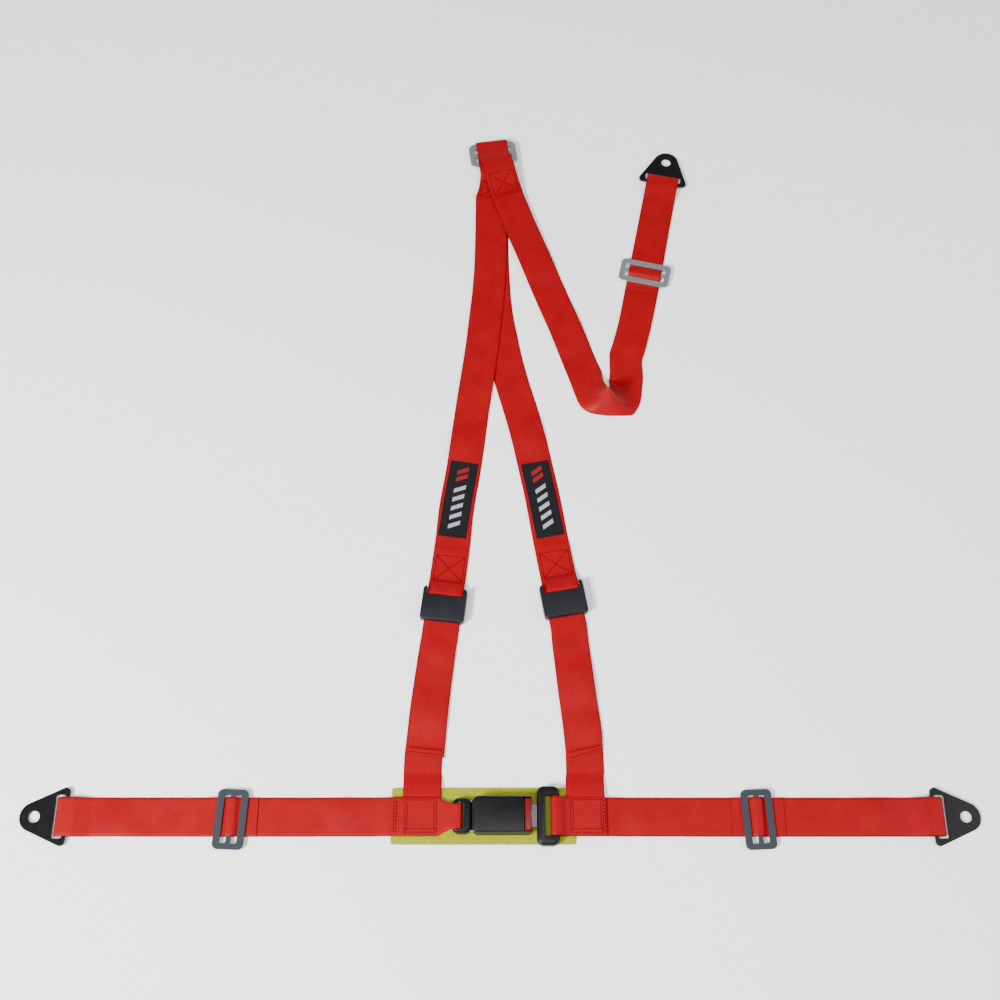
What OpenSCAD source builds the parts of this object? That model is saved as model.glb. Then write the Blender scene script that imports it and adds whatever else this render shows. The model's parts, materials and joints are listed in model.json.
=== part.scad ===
// Four-point racing harness laid flat: two lap straps with bolt-in plates, a push-button
// buckle on a pad, two shoulder straps with tilt-lock adjusters, a yoke ring and a rear strap.
// X runs across the harness, Y from the lap straps towards the yoke, Z is up.
// The origin is on the underside of the pad, below the middle of the buckle.

/* [Webbing] */
// Width of the webbing
web_w = 50; // [46:1:52]
// Thickness of one layer of webbing
web_t = 1.2; // [1:0.1:1.4]
// Gap between layers that lie on each other
web_gap = 0.2; // [0.1:0.05:0.3]

/* [Lap straps] */
// Distance from the middle of the buckle to each lap plate's bar
lap_reach = 560; // [480:5:680]
// Distance from the middle of the buckle to each lap slider
lap_slider_x = 340; // [320:5:360]
// Length of the folded-back webbing past the slider
lap_tail = 102; // [95:1:120]

/* [Anchor plates] */
// Thickness of an anchor plate
plate_t = 3; // [2:0.25:3.25]
// Width of an anchor plate across its bar
plate_w = 75; // [72:1:90]
// Distance from the bar to the bolt hole
plate_reach = 41.4; // [36:0.2:60]
// Diameter of the bolt hole
bolt_hole_d = 15; // [11:0.5:18]
// Radius of the plate round the bolt hole
plate_nose_r = 19.2; // [16:0.2:24]
// Width of the bar that the webbing goes round
plate_bar_w = 5; // [4:0.5:6]
// Width of the slot for the webbing
plate_slot_w = 13; // [11:0.5:16]

/* [Sliders] */
// Length of a slider along the webbing
slider_l = 40; // [38:1:50]
// Length of a slider across the webbing
slider_w = 77; // [76:1:90]
// Thickness of a slider
slider_t = 2.5; // [2:0.1:3]
// Width of a slider's two outer bars
slider_bar = 9; // [7:0.5:9]
// Width of a slider's middle bar
slider_mid = 6; // [4:0.5:6]

/* [Adjusters] */
// Width of an adjuster across the webbing
adj_w = 61; // [60:1:72]
// Length of an adjuster along the webbing
adj_l = 49; // [48:1:56]
// Height of the top of an adjuster
adj_h = 15; // [14:0.5:18]
// Radius of the bar that the upper strap is sewn round
adj_loop_r = 2.8; // [2:0.1:2.9]
// Radius of the grip bar
adj_grip_r = 3.2; // [2.5:0.1:3.3]

/* [Buckle] */
// Left end of the buckle's body
buckle_x0 = -36; // [-38:0.5:-35.5]
// Right end of the buckle's body
buckle_x1 = 41; // [40.5:0.5:46]
// Width of the buckle's body
buckle_w = 47; // [46:0.5:54]
// Height of the top of the buckle
buckle_h = 25; // [24.5:0.5:28]
// Wall of the covers
cover_wall = 1.6; // [1.2:0.1:1.7]
// Thickness of the tongue
tongue_t = 2.5; // [2:0.1:2.6]
// Width of the tongue inside the buckle
tongue_w = 29; // [24:0.5:29]
// How deep the latch's tooth goes into the tongue
tooth_depth = 1.2; // [0.8:0.1:1.3]
// Radius of the latch's pin
latch_pin_r = 1.5; // [1.2:0.1:1.8]

/* [Pad] */
// Length of the pad
pad_l = 238; // [230:1:260]
// Width of the pad
pad_w = 73; // [60:1:80]
// Thickness of the pad
pad_t = 3; // [2:0.25:3]
// Radius of the pad's corners
pad_r = 2.5; // [1:0.5:12]

/* [Yoke] */
// Length of the yoke ring along its bars
ring_w = 76; // [74:1:90]
// Width of the ring's top and bottom bars
ring_bar = 10.6; // [8:0.1:10.6]
// Width of the ring's middle bar
ring_mid = 6; // [4:0.5:6]
// Width of each slot in the ring
ring_slot = 10; // [10:0.5:13]
// Thickness of the ring
ring_t = 3.5; // [3:0.1:3.5]

/* [Labels] */
// Width of a woven label
label_w = 40; // [30:1:44]
// Thickness of a woven label
label_t = 0.6; // [0.4:0.1:1]

/* [Hidden] */

// Levels of webbing on the floor, and on the pad
layer = web_t + web_gap;
z1 = web_t / 2;
z2 = z1 + layer;
pad_z1 = pad_t + 0.2 + web_t / 2;
pad_z2 = pad_z1 + layer;
pad_z3 = pad_z2 + layer;
// Radius of an anchor plate's corners
plate_corner_r = 6;
// Clearance between webbing and the bar it goes round
bar_gap = 0.3;
fine = 48;

// Anchor plates: the bar's height, the loop round it, and the droop that rests the nose on the floor
plate_loop_r = norm([plate_bar_w, plate_t]) / 2 + bar_gap + web_t / 2;
plate_axis_z = z1 + plate_loop_r;
loop_slack = 8.6;
plate_drop = asin((plate_axis_z - plate_t / 2 - 0.05) / (plate_reach + plate_nose_r));

// Buckle: heights of the frame, the tongue, the latch and the webbing's bar
frame_z0 = pad_t + 2.3;
frame_t = 2;
frame_in = 17.9;
frame_out = frame_in + frame_t;
shell_z0 = pad_t + 0.4;
seam_z = shell_z0 + 5.6;
tongue_z = frame_z0 + frame_t + 0.7;
tongue_tip = 3.5;
tooth_x0 = 19;
tooth_x1 = 22.5;
window_x0 = 9.3;
window_x1 = 24;
arm_z = 13;
arm_t = 2;
pin_x = -22;
pin_z = arm_z + arm_t / 2;
eye_x = -52;
eye_z = pad_t + 5.1;
eye_r = 2.4;
eye_web_w = 32;
tongue_bar_x = 71;
tongue_bar_r = 4.3;
tongue_bar_z = tongue_z + tongue_t / 2;
screw_places = [[-27, -12], [-27, 12], [30, -12], [30, 12]];

// Yoke ring: its middle, its turn, its height and where its bars are
ring_c = [-11, 1056];
ring_a = 8;
ring_z = 7.1;
ring_step = ring_slot + (ring_bar + ring_mid) / 2;
ring_l = 2 * ring_step + ring_bar;
ring_loop = ring_t / 2 + bar_gap + web_t / 2;
rear_loop = norm([ring_bar, ring_t]) / 2 + bar_gap + web_t / 2;

// Adjusters: the middle and heading of each, the bars' places and the ends of the lower webbing
adj_l_c = [-77.4, 288];
adj_l_a = 83.5;
adj_r_c = [87.6, 295.8];
adj_r_a = 100;
adj_z = 6;
adj_loop_y = 16;
adj_grip_y = -2;
adj_end = adj_l / 2 + 1.5;
adj_loop = adj_loop_r + bar_gap + web_t / 2;
adj_grip = adj_grip_r + bar_gap + web_t / 2;

// Junctions of the shoulder straps with the lap straps
left_join = -101;
right_join = 110.5;
pad_mid_x = -21.5;
pad_mid_y = 1.4;

// Rear leg: the line of its straight part and its slider and plate
rear_a = 78.4;
rear_bar = [258, 1002];
rear_slider_d = 175;
rear_tail = 84;

// Routes, as points on the floor
left_lower_route = [[-101.3, 58], [-100.8, 80], [-98.8, 102], [-96, 134], [-92.5, 167], [-88.5, 201], [-84, 235]];
right_lower_route = [[111.5, 58], [111.4, 80], [110, 102], [107, 134], [103, 167], [99.5, 201], [95.5, 240]];
left_upper_route = [[-62.5, 431], [-58.5, 460], [-54, 488], [-50, 518], [-46.5, 546], [-41.5, 590], [-36, 632],
  [-30.5, 673], [-25.5, 715], [-21.5, 757], [-17.5, 800], [-15, 844], [-14, 888], [-13.5, 934]];
right_upper_route = [[64.5, 431], [59.5, 460], [54, 488], [48, 518], [42, 546], [31, 592], [20, 632],
  [10, 673], [2, 715], [-5, 757], [-9, 800], [-11, 844], [-12, 888], [-12.5, 934]];
rear_route = [[19, 957], [35, 911], [52, 866], [67.5, 822], [83.5, 778], [98.5, 736], [113, 694], [121, 670]];
rear_heights = [5.4, 4.4, 2.6, 1.2, 0.6, 0.6, 0.6, 0.6];
// The two edges of the rear strap's loose turn: the outer edge on the floor, the inner one raised
turn_outer = [[103, 645, 0.7], [110.3, 622, 0.8], [118, 602, 1], [131, 590.5, 1], [148, 586.5, 1], [163, 585, 1],
  [178, 585, 1], [193, 586, 1], [203, 598, 0.9], [208.5, 613, 0.8], [211, 632, 0.7], [213, 652, 1.2]];
turn_inner = [[151.5, 659, 1.5], [153, 645, 6], [154, 632, 17], [155, 620, 32], [156, 612, 41], [158, 609, 44],
  [161, 610, 38], [163, 614, 27], [163, 621, 16], [162, 631, 7], [162, 642, 2.5], [163.5, 660, 1.6]];

// ---- helpers ----
function unit(v) = v / norm(v);
function heading(a, b) = atan2(b[1] - a[1], b[0] - a[0]);
// The direction across a route at one point, from its neighbours
function across(p, i) = heading(p[max(i - 1, 0)], p[min(i + 1, len(p) - 1)]) - 90;
// A station of webbing: place, direction across, and width
function station(p, z, a, w = web_w) = [p[0], p[1], z, a, w];
// Stations of a route on the floor at the given heights
function route(p, z) = [for (i = [0 : len(p) - 1]) station(p[i], z[i], across(p, i))];
function level(p, z) = [for (q = p) z];
// Stations of a path in an upright plane: s runs from c in direction a, z is height
function upright(c, a, sz, w = web_w) =
  [for (q = sz) [c[0] + q[0] * cos(a), c[1] + q[0] * sin(a), q[1], a - 90, w]];
// Points of an arc of webbing round a bar, in the upright plane
function arc(s, z, r, a0, a1, n) =
  [for (i = [0 : n]) let (a = a0 + (a1 - a0) * i / n) [s + r * cos(a), z + r * sin(a)]];
// One edge of the webbing: side is -1 or 1
function edge(st, side) =
  [for (q = st) let (h = side * q[4] / 2) [q[0] + h * cos(q[3]), q[1] + h * sin(q[3]), q[2]]];
function reverse(v) = [for (i = [len(v) - 1 : -1 : 0]) v[i]];
// The line along the middle of two edges, and its direction at each point
function middle(a, b) = [for (i = [0 : len(a) - 1]) (a[i] + b[i]) / 2];
function along(m, i) = unit(m[min(i + 1, len(m) - 1)] - m[max(i - 1, 0)]);

// A band of webbing between two edges
module band(a, b, t = web_t) {
  n = len(a);
  m = middle(a, b);
  pts = [for (i = [0 : n - 1]) let (nrm = unit(cross(along(m, i), unit(b[i] - a[i]))) * t / 2)
    each [b[i] + nrm, a[i] + nrm, a[i] - nrm, b[i] - nrm]];
  // Both walls are split along the same diagonal, so that they keep apart where the band twists
  sides = [for (i = [0 : n - 2], j = [0 : 3])
    let (p = 4 * i + j, q = 4 * i + (j + 1) % 4)
      each (j == 2 ? [[p, p + 4, q], [p + 4, q + 4, q]] : [[p, p + 4, q + 4], [p, q + 4, q]])];
  ends = [[0, 1, 2], [0, 2, 3], [4 * n - 1, 4 * n - 2, 4 * n - 3], [4 * n - 1, 4 * n - 3, 4 * n - 4]];
  polyhedron(points = pts, faces = concat(sides, ends), convexity = 6);
}
module webbing(st, t = web_t) band(edge(st, -1), edge(st, 1), t);

// A rectangle with round corners, about its middle
module round_rect(w, h, r) {
  square([w - 2 * r, h], center = true);
  square([w, h - 2 * r], center = true);
  for (x = [-1, 1], y = [-1, 1]) translate([x * (w / 2 - r), y * (h / 2 - r)]) circle(r, $fn = fine);
}
// A plan with one radius at its left corners and another at its right ones
module end_rounded(x0, x1, w, r0, r1) {
  translate([x0 + r0, -w / 2]) square([x1 - r1 - x0 - r0, w]);
  translate([x0, -w / 2 + r0]) square([r0 + 0.1, w - 2 * r0]);
  translate([x1 - r1 - 0.1, -w / 2 + r1]) square([r1 + 0.1, w - 2 * r1]);
  for (y = [-1, 1]) {
    translate([x0 + r0, y * (w / 2 - r0)]) circle(r0, $fn = fine);
    translate([x1 - r1, y * (w / 2 - r1)]) circle(r1, $fn = fine);
  }
}
// A block with round corners and a rounded top edge; r0 and r1 are its left and right corners
module soft_block(x0, x1, w, z0, z1, r0, re, r1 = 0) {
  k1 = r1 == 0 ? r0 : r1;
  hull() {
    translate([0, 0, z0]) linear_extrude(z1 - re - z0) end_rounded(x0, x1, w, r0, k1, $fn = 32);
    for (a = [30 : 30 : 90]) {
      d = re * (1 - cos(a));
      translate([0, 0, z1 - re]) linear_extrude(re * sin(a))
        end_rounded(x0 + d, x1 - d, w - 2 * d, max(r0 - d, 0.5), max(k1 - d, 0.5));
    }
  }
}
module block(x0, x1, y0, y1, z0, z1) translate([x0, y0, z0]) cube([x1 - x0, y1 - y0, z1 - z0]);
// A round bar across the harness, about Y = 0
module rod(x, z, r, w) translate([x, w / 2, z]) rotate([90, 0, 0]) cylinder(r = r, h = w, $fn = fine);
// A coil spring along +X, swept as one closed mesh
module coil(r, wire, length, turns) {
  n = turns * 10;
  ring = 4;
  pts = [for (i = [0 : n], j = [0 : ring - 1])
    let (a = 360 * turns * i / n, b = 360 * j / ring, q = r + wire * cos(b))
    [length * i / n + wire * sin(b), q * cos(a), q * sin(a)]];
  sides = [for (i = [0 : n - 1], j = [0 : ring - 1])
    let (p = ring * i + j, q = ring * i + (j + 1) % ring) each [[p, q + ring, p + ring], [p, q, q + ring]]];
  ends = [[for (j = [0 : ring - 1]) ring - 1 - j], [for (j = [0 : ring - 1]) ring * n + j]];
  polyhedron(points = pts, faces = concat(sides, ends), convexity = 8);
}

// ---- parts used more than once ----
// An anchor plate with its bar on the Y axis and its nose along -X
module anchor_plate() {
  corner_x = plate_bar_w / 2 - plate_corner_r;
  color("#111114") translate([0, 0, plate_axis_z]) rotate([0, -plate_drop, 0])
    translate([0, 0, -plate_t / 2]) difference() {
      linear_extrude(plate_t) hull() {
        translate([-plate_reach, 0]) circle(plate_nose_r, $fn = 96);
        for (y = [-1, 1]) translate([corner_x, y * (plate_w / 2 - plate_corner_r)])
          circle(plate_corner_r, $fn = fine);
      }
      translate([0, 0, -1]) linear_extrude(plate_t + 2)
        translate([-plate_bar_w / 2 - plate_slot_w / 2, 0]) round_rect(plate_slot_w, web_w + 6, 2.5);
      translate([-plate_reach, 0, -1]) cylinder(d = bolt_hole_d, h = plate_t + 2, $fn = 96);
    }
}
// A three-bar slider in its own frame, long side across the webbing
slider_z = z2 + layer + web_t / 2 + bar_gap;
module slider_frame(shade) {
  slot = (slider_l - 2 * slider_bar - slider_mid) / 2;
  color(shade) translate([0, 0, slider_z]) linear_extrude(slider_t) difference() {
    round_rect(slider_l, slider_w, 7);
    for (s = [-1, 1]) translate([s * (slider_mid + slot) / 2, 0]) round_rect(slot, web_w + 12, 2);
  }
}
// The webbing threaded under a slider's outer bars and over its middle bar
module slider_hump(reach = 34) {
  low = z2 + layer;
  high = slider_z + slider_t + bar_gap + web_t / 2;
  m = slider_mid / 2;
  s = slider_l / 2 - slider_bar;
  half = [[reach, low], [s + 6, low], [s - 1.2, low + 0.1], [m + 1.6, high - 0.5], [m + 0.2, high]];
  color("#c8202a") webbing(upright([0, 0], 0, concat([for (q = half) [-q[0], q[1]]], reverse(half))));
}

// ---- lap straps ----
// The lap strap's stations from its sewn end at the buckle, round the bar and out to the plate
module lap_strap(reach, buckle_loop) {
  x_end = reach + loop_slack;
  outer = [[reach - 8, plate_axis_z + plate_loop_r], [reach - 2, plate_axis_z + plate_loop_r]];
  fold = concat([[165, z2], [reach - 60, z2], [reach - 36, z2 + 0.5], [reach - 20, 6]], outer,
    arc(x_end, plate_axis_z, plate_loop_r, 90, -90, 10),
    [[reach - 8, z1], [reach - 60, z1], [lap_slider_x - lap_tail, z1]]);
  color("#c8202a") webbing(concat(buckle_loop, upright([0, 0], 0, fold)));
}
module lap_strap_left() {
  r = eye_r + bar_gap + web_t / 2;
  e = -eye_x;
  narrow = concat([[e + 11, eye_z + r - 0.8]], arc(e, eye_z, r, 90, 270, 10), [[e + 11, eye_z - r - 0.1]]);
  loop = concat(upright([0, 0], 0, [[140, pad_z3], [88, pad_z3], [82, pad_z3 + 0.3]]),
    upright([0, 0], 0, [[74, pad_z3 + 1.6]], 42), upright([0, 0], 0, narrow, eye_web_w),
    upright([0, 0], 0, [[74, pad_z1]], 42), upright([0, 0], 0, [[82, pad_z1], [143, pad_z1]]));
  mirror([1, 0, 0]) lap_strap(lap_reach, loop);
}
module lap_strap_right() {
  r = tongue_bar_r + bar_gap + web_t / 2;
  loop = upright([0, 0], 0, concat([[137, pad_z3], [90, pad_z3], [85, pad_z3 + 1.4], [78, pad_z3 + 5.4]],
    arc(tongue_bar_x, tongue_bar_z, r, 75, 285, 12), [[90, pad_z1], [140, pad_z1]]));
  lap_strap(lap_reach, loop);
}
// The sliders sit a little askew on the straps, both 7 mm to the left of their nominal places
slider_shift = -7;
slider_drop = -3.5;
slider_skew = 2.5;
module lap_slider_left() translate([slider_shift - lap_slider_x, slider_drop, 0])
  rotate([0, 0, -slider_skew]) slider_frame("#5b5f66");
module lap_slider_right() translate([slider_shift + lap_slider_x, slider_drop, 0])
  rotate([0, 0, slider_skew]) slider_frame("#5b5f66");
module slider_webbing_left() translate([slider_shift - lap_slider_x, 0, 0]) slider_hump();
module slider_webbing_right() translate([slider_shift + lap_slider_x, 0, 0]) slider_hump();
module anchor_plate_left() translate([-lap_reach, 0, 0]) anchor_plate();
module anchor_plate_right() translate([lap_reach, 0, 0]) rotate([0, 0, 180]) anchor_plate();

// ---- buckle ----
module buckle_pad() color("#b5bf00") translate([pad_mid_x, pad_mid_y, 0])
  linear_extrude(pad_t) round_rect(pad_l, pad_w, pad_r);

module buckle_eye() color("#1c1c20") difference() {
  soft_block(-62, buckle_x0 - 0.3, 45, shell_z0, shell_z0 + 11.6, 9, 3.5);
  block(-63, eye_x + 5.5, -eye_web_w / 2 - 1.5, eye_web_w / 2 + 1.5, 0, shell_z0 + 13);
  block(-56.5, buckle_x0 + 1, -frame_out - 0.3, frame_out + 0.3, 0, frame_z0 + 5.7);
}
module buckle_frame() color("#9a9da2") difference() {
  union() {
    block(buckle_x0 + 2.5, buckle_x1 - 5, -frame_out, frame_out, frame_z0, frame_z0 + frame_t);
    for (s = [-1, 1]) {
      translate([0, s * (frame_in + frame_t / 2), 0]) {
        block(eye_x - 3, buckle_x1 - 5, -frame_t / 2, frame_t / 2, frame_z0, frame_z0 + 5.2);
        block(buckle_x0 + 2.5, 24, -frame_t / 2, frame_t / 2, frame_z0, pin_z + 3.5);
      }
    }
    rod(eye_x, eye_z, eye_r, 2 * frame_in + 1);
  }
  rod(pin_x, pin_z, latch_pin_r + 0.02, 2 * frame_out + 2);
  for (p = screw_places) translate([p[0], p[1], frame_z0 - 1]) cylinder(r = 1.55, h = frame_t + 2, $fn = fine);
}
module buckle_base_cover() color("#1c1c20") difference() {
  translate([0, 0, shell_z0])
    linear_extrude(seam_z - shell_z0 - 0.1) end_rounded(buckle_x0, buckle_x1, buckle_w, 9, 4);
  block(buckle_x0 + cover_wall, buckle_x1 - cover_wall, -buckle_w / 2 + cover_wall,
    buckle_w / 2 - cover_wall, frame_z0 - 0.1, seam_z + 1);
  block(buckle_x0 - 1, 0, -frame_out - 0.3, frame_out + 0.3, frame_z0 - 0.1, seam_z + 1);
  block(20, buckle_x1 + 1, -frame_in, frame_in, tongue_z - 0.6, seam_z + 1);
  for (p = screw_places) translate([p[0], p[1], shell_z0 - 1]) {
    cylinder(r = 1.7, h = 5, $fn = fine);
    cylinder(r = 2.9, h = 2, $fn = fine);
  }
}
module buckle_top_cover() color("#1c1c20") difference() {
  soft_block(buckle_x0, buckle_x1, buckle_w, seam_z, buckle_h, 9, 3.5, 4);
  block(buckle_x0 + cover_wall, buckle_x1 - cover_wall, -buckle_w / 2 + cover_wall,
    buckle_w / 2 - cover_wall, seam_z - 1, buckle_h - cover_wall);
  block(30.6, buckle_x1 + 1, -21.5, 21.5, 12.4, buckle_h + 1);
  block(30, buckle_x1 + 1, -frame_in, frame_in, seam_z - 1, 13);
  block(buckle_x0 - 1, 0, -frame_out - 0.3, frame_out + 0.3, seam_z - 1, frame_z0 + 5.7);
}
module buckle_screws() color("#b9bcc0") for (p = screw_places) translate([p[0], p[1], shell_z0 + 0.05]) {
  cylinder(r = 2.8, h = 0.9, $fn = fine);
  cylinder(r = 1.5, h = frame_z0 + frame_t - shell_z0 - 0.3, $fn = fine);
}
module latch_pin() color("#c8ccd0") {
  rod(pin_x, pin_z, latch_pin_r, 2 * frame_out + 0.4);
  for (s = [-1, 1]) translate([0, s * (frame_out + 0.6), 0]) rod(pin_x, pin_z, latch_pin_r + 1, 0.9);
}
module latch_plate() color("#8f9399") difference() {
  union() {
    rod(pin_x, pin_z, latch_pin_r + 1.7, 20);
    block(pin_x, tooth_x1, -7, 7, arm_z, arm_z + arm_t);
    block(tooth_x0, tooth_x1, -4.5, 4.5, tongue_z + tongue_t - tooth_depth, arm_z + 0.5);
  }
  rod(pin_x, pin_z, latch_pin_r + 0.06, 24);
}
module latch_spring() color("#d0d4d8") translate([pin_x, 10.6, pin_z]) rotate([0, 0, 90])
  coil(latch_pin_r + 0.75, 0.4, 6, 4);
module ejector() color("#8f9399") block(-12, tongue_tip - 0.3, -15.5, 15.5, tongue_z, tongue_z + tongue_t);
module ejector_springs() color("#d0d4d8") for (y = [-13, 13])
  translate([-31.5, y, tongue_z + 1.5]) coil(1.6, 0.35, 18.6, 6);
module release_button() color("#8c0c1a") difference() {
  soft_block(31, buckle_x1 - 0.6, 42, 12.7, buckle_h - cover_wall - 0.2, 2.2, 1.6);
  translate([buckle_x1 + 28.4, 0, 12]) cylinder(r = 30, h = 14, $fn = 180);
}
module button_springs() color("#d0d4d8") for (y = [-14, 14]) translate([24.2, y, 18]) coil(2, 0.35, 6.2, 4);

module tongue_plate() color("#8a8288") translate([0, 0, tongue_z]) linear_extrude(tongue_t) difference() {
  union() {
    polygon([[tongue_tip + 3, -tongue_w / 2], [52, -tongue_w / 2], [52, tongue_w / 2],
      [tongue_tip + 3, tongue_w / 2], [tongue_tip, tongue_w / 2 - 4], [tongue_tip, -tongue_w / 2 + 4]]);
    translate([62.2, 0]) round_rect(23.6, 66, 5);
  }
  polygon([[window_x0, -6.5], [window_x1, -6.5], [window_x1, 6.5], [window_x0, 6.5]]);
  translate([62.8, 0]) round_rect(9.4, web_w + 5, 1.5);
}
module tongue_cover() color("#1c1c20") difference() {
  union() {
    difference() {
      soft_block(47.5, 76.5, 76, pad_t + 0.7, pad_t + 12.6, 9, 4);
      block(58, 80, -web_w / 2 - 1.5, web_w / 2 + 1.5, 0, 30);
    }
    rod(tongue_bar_x, tongue_bar_z, tongue_bar_r, web_w + 4);
  }
  block(40, 74.2, -33.2, 33.2, tongue_z - 0.15, tongue_z + tongue_t + 0.15);
}

// ---- shoulder straps ----
// The lower strap's end between the lap strap's layers, and its way down to the floor
function join_route(x) = [for (q = [[-22, pad_z2], [25, pad_z2], [30, pad_z2 - 0.2], [42, pad_z1 + 0.1],
  [50, z1 + 1.6]]) station([x, q[0]], q[1], 0)];
// A place in an adjuster's frame
function adj_at(c, a, d) = [c[0] + d * cos(a), c[1] + d * sin(a)];
module lower_strap(x, pts, c, a, tail_x, skew) {
  all = concat(pts, [adj_at(c, a, -adj_end - 12)]);
  n = len(all);
  end = adj_at(c, a, -adj_end - 0.3);
  main = concat(route(all, level(all, z1)), [station(end, z1, a - 90)]);
  tail_pts = [for (i = [1 : n - 1]) all[i] + [tail_x * (n - 1 - i) / (n - 1), 0]];
  back = concat(route(tail_pts, level(tail_pts, z2)), [station(end, z2, a - 90)]);
  first = station(tail_pts[0], z2, back[0][3] + skew);
  color("#c8202a") {
    webbing(concat(join_route(x), main));
    webbing(concat([first], [for (i = [1 : n - 1]) back[i]]));
  }
}
module shoulder_strap_left_lower() lower_strap(left_join, left_lower_route, adj_l_c, adj_l_a, 3, -3);
module shoulder_strap_right_lower() lower_strap(right_join, right_lower_route, adj_r_c, adj_r_a, 1, 16);

// The upper strap's sewn loop round the adjuster's bar
function sewn_loop(c, a) = upright(c, a, concat([[82, z1], [40, z1], [28, z1 + 0.3], [21, z1 + 1.2]],
  arc(adj_loop_y, adj_z, adj_loop, -80, -260, 10),
  [[22, adj_z + adj_loop - 0.7], [30, adj_z + 0.4], [38, z2 + 1.5], [46, z2 + 0.3], [56, z2],
    [83, z2], [90, z1 + 0.4], [96, z1]]));
// A place on the ring's own middle line: u runs across the bars, towards the rear
function ring_at(u) = [ring_c[0] - u * sin(ring_a), ring_c[1] + u * cos(ring_a)];
// Stations near the ring. The strap comes in straight along Y, and turns square to the bars
function ring_part(uz, x) = [for (q = uz) let (k = min(max((q[0] + 84) / 50, 0), 1), p = ring_at(q[0]))
  [p[0] * k + x * (1 - k), p[1], q[1], ring_a * k, web_w]];
// The rear strap leaves the ring at a slant: how far it moves across, and how far it turns
rear_slant = 0.15;
rear_turn = 11;
function rear_part(uz) = [for (q = uz) let (p = ring_at(q[0]), k = min(max(-q[0] / 60, 0), 1))
  station([p[0] - min(q[0], 0) * rear_slant, p[1]], q[1], ring_a + k * rear_turn)];
low_u = -ring_step;
low_edge = low_u + ring_bar / 2;
right_ring = concat([[-84, z1], [-56, z1], [-46, z1 + 0.8], [-36, 3.2], [-28, ring_z - ring_loop],
  [-23.5, ring_z - ring_loop]], arc(low_edge + 0.45, ring_z, ring_loop, -90, 90, 8),
  [[-23.5, ring_z + ring_loop], [-28, ring_z + ring_loop - 0.1], [-36, 8], [-46, 4.6], [-56, 2.4],
    [-62, z2], [-84, z2]]);
left_ring = [[-84, 3.4], [-62, 3.5], [-56, 4.2], [-46, 6.6], [-36, 10], [-28, 11.5], [-14.5, 11.4],
  [-10.4, 11], [-7.6, 9.6], [-6.6, 7.4], [-5.7, 5.6], [-4.2, 4.6], [0, 4.4]];
left_ring_back = [[-2, 9.8], [-5, 10.8], [-9.5, 12.4], [-14.5, 12.9], [-28, 13], [-36, 11.5], [-46, 8.1],
  [-56, 5.7], [-62, 5], [-84, 4.8]];
rear_ring_main = [[-84, 6.3], [-62, 7.3], [-56, 8.7], [-46, 11.3], [-36, 13.9], [-28, 14.9], [-14.5, 14.5],
  [-9.5, 13.9], [-5, 12.5], [0, 11.6], [5, 11.4], [9.5, 11]];
rear_ring_flap = [[10, 13.6], [5, 13.2], [0, 13.3], [-5, 14.1], [-9.5, 15.4], [-14.5, 16], [-28, 16.4],
  [-36, 15.5], [-46, 12.9], [-56, 10.3], [-62, 8.9], [-80, 7.9]];
left_heights = [z1, z1, z1, z1, z1, z1, z2, z2, z2, z2, z2, z2, z2, 2.6];

module shoulder_strap_left_upper() color("#c8202a") webbing(concat(sewn_loop(adj_l_c, adj_l_a),
  route(left_upper_route, left_heights),
  ring_part(concat(left_ring, arc(ring_mid / 2 - 0.55, ring_z, ring_loop, -90, 90, 8), left_ring_back),
    -13.5)));
module shoulder_strap_right_upper() color("#c8202a") webbing(concat(sewn_loop(adj_r_c, adj_r_a),
  route(right_upper_route, level(right_upper_route, z1)), ring_part(right_ring, -12.5)));

// A woven label on the upper strap, over a stretch of its route
module label(p) {
  z = z1 + web_t / 2 + 0.1 + label_t / 2;
  color("#0f0f12") webbing([for (q = route(p, level(p, z))) station(q, z, q[3], label_w)], label_t);
}
module label_left() label(concat([[-67.8, 392]], [for (i = [0 : 2]) left_upper_route[i]], [[-50.9, 509]]));
module label_right() label(concat([[71.6, 393]], [for (i = [0 : 2]) right_upper_route[i]], [[50, 509]]));

// ---- adjusters, in their own frame: X across, Y along the strap towards the yoke ----
module at_adjuster(c, a) translate([c[0], c[1], 0]) rotate([0, 0, a - 90]) children();
module cross_rod(y, r, w) translate([-w / 2, y, adj_z]) rotate([0, 90, 0]) cylinder(r = r, h = w, $fn = fine);
adj_plate_x = web_w / 2 + 1.3;
adj_plate_t = 2;
module adj_frame() color("#8f9399") difference() {
  union() {
    for (s = [-1, 1]) translate([s * (adj_plate_x + adj_plate_t / 2), 0, 0])
      block(-adj_plate_t / 2, adj_plate_t / 2, -20, 20.5, 3, 10.9);
    cross_rod(adj_loop_y, adj_loop_r, 2 * adj_plate_x + 1);
    block(-adj_plate_x - 0.5, adj_plate_x + 0.5, -20, -15, 9.6, 10.9);
  }
  cross_rod(adj_grip_y, adj_grip_r + 0.05, adj_w + 4);
}
module adj_bar() color("#6d7176") cross_rod(adj_grip_y, adj_grip_r, 2 * adj_plate_x + 2 * adj_plate_t);
module adj_cover() color("#2c2e34") difference() {
  union() {
    rotate([0, 0, 90]) soft_block(-adj_l / 2, adj_l / 2, adj_w, 3, adj_h, 5, 2.5);
    block(-adj_w / 2 + 5, adj_w / 2 - 5, 7.6, 9.2, adj_h - 0.5, adj_h + 0.5);
  }
  inside = adj_plate_x + adj_plate_t + 0.2;
  block(-inside, inside, -adj_l / 2 + 2, adj_l / 2 - 2, 0, 11.2);
  block(-web_w / 2 - 0.7, web_w / 2 + 0.7, 11, adj_l, 0, adj_h + 2);
  block(-web_w / 2 - 0.9, web_w / 2 + 0.9, -adj_l, -15, 0, 9);
}
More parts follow.
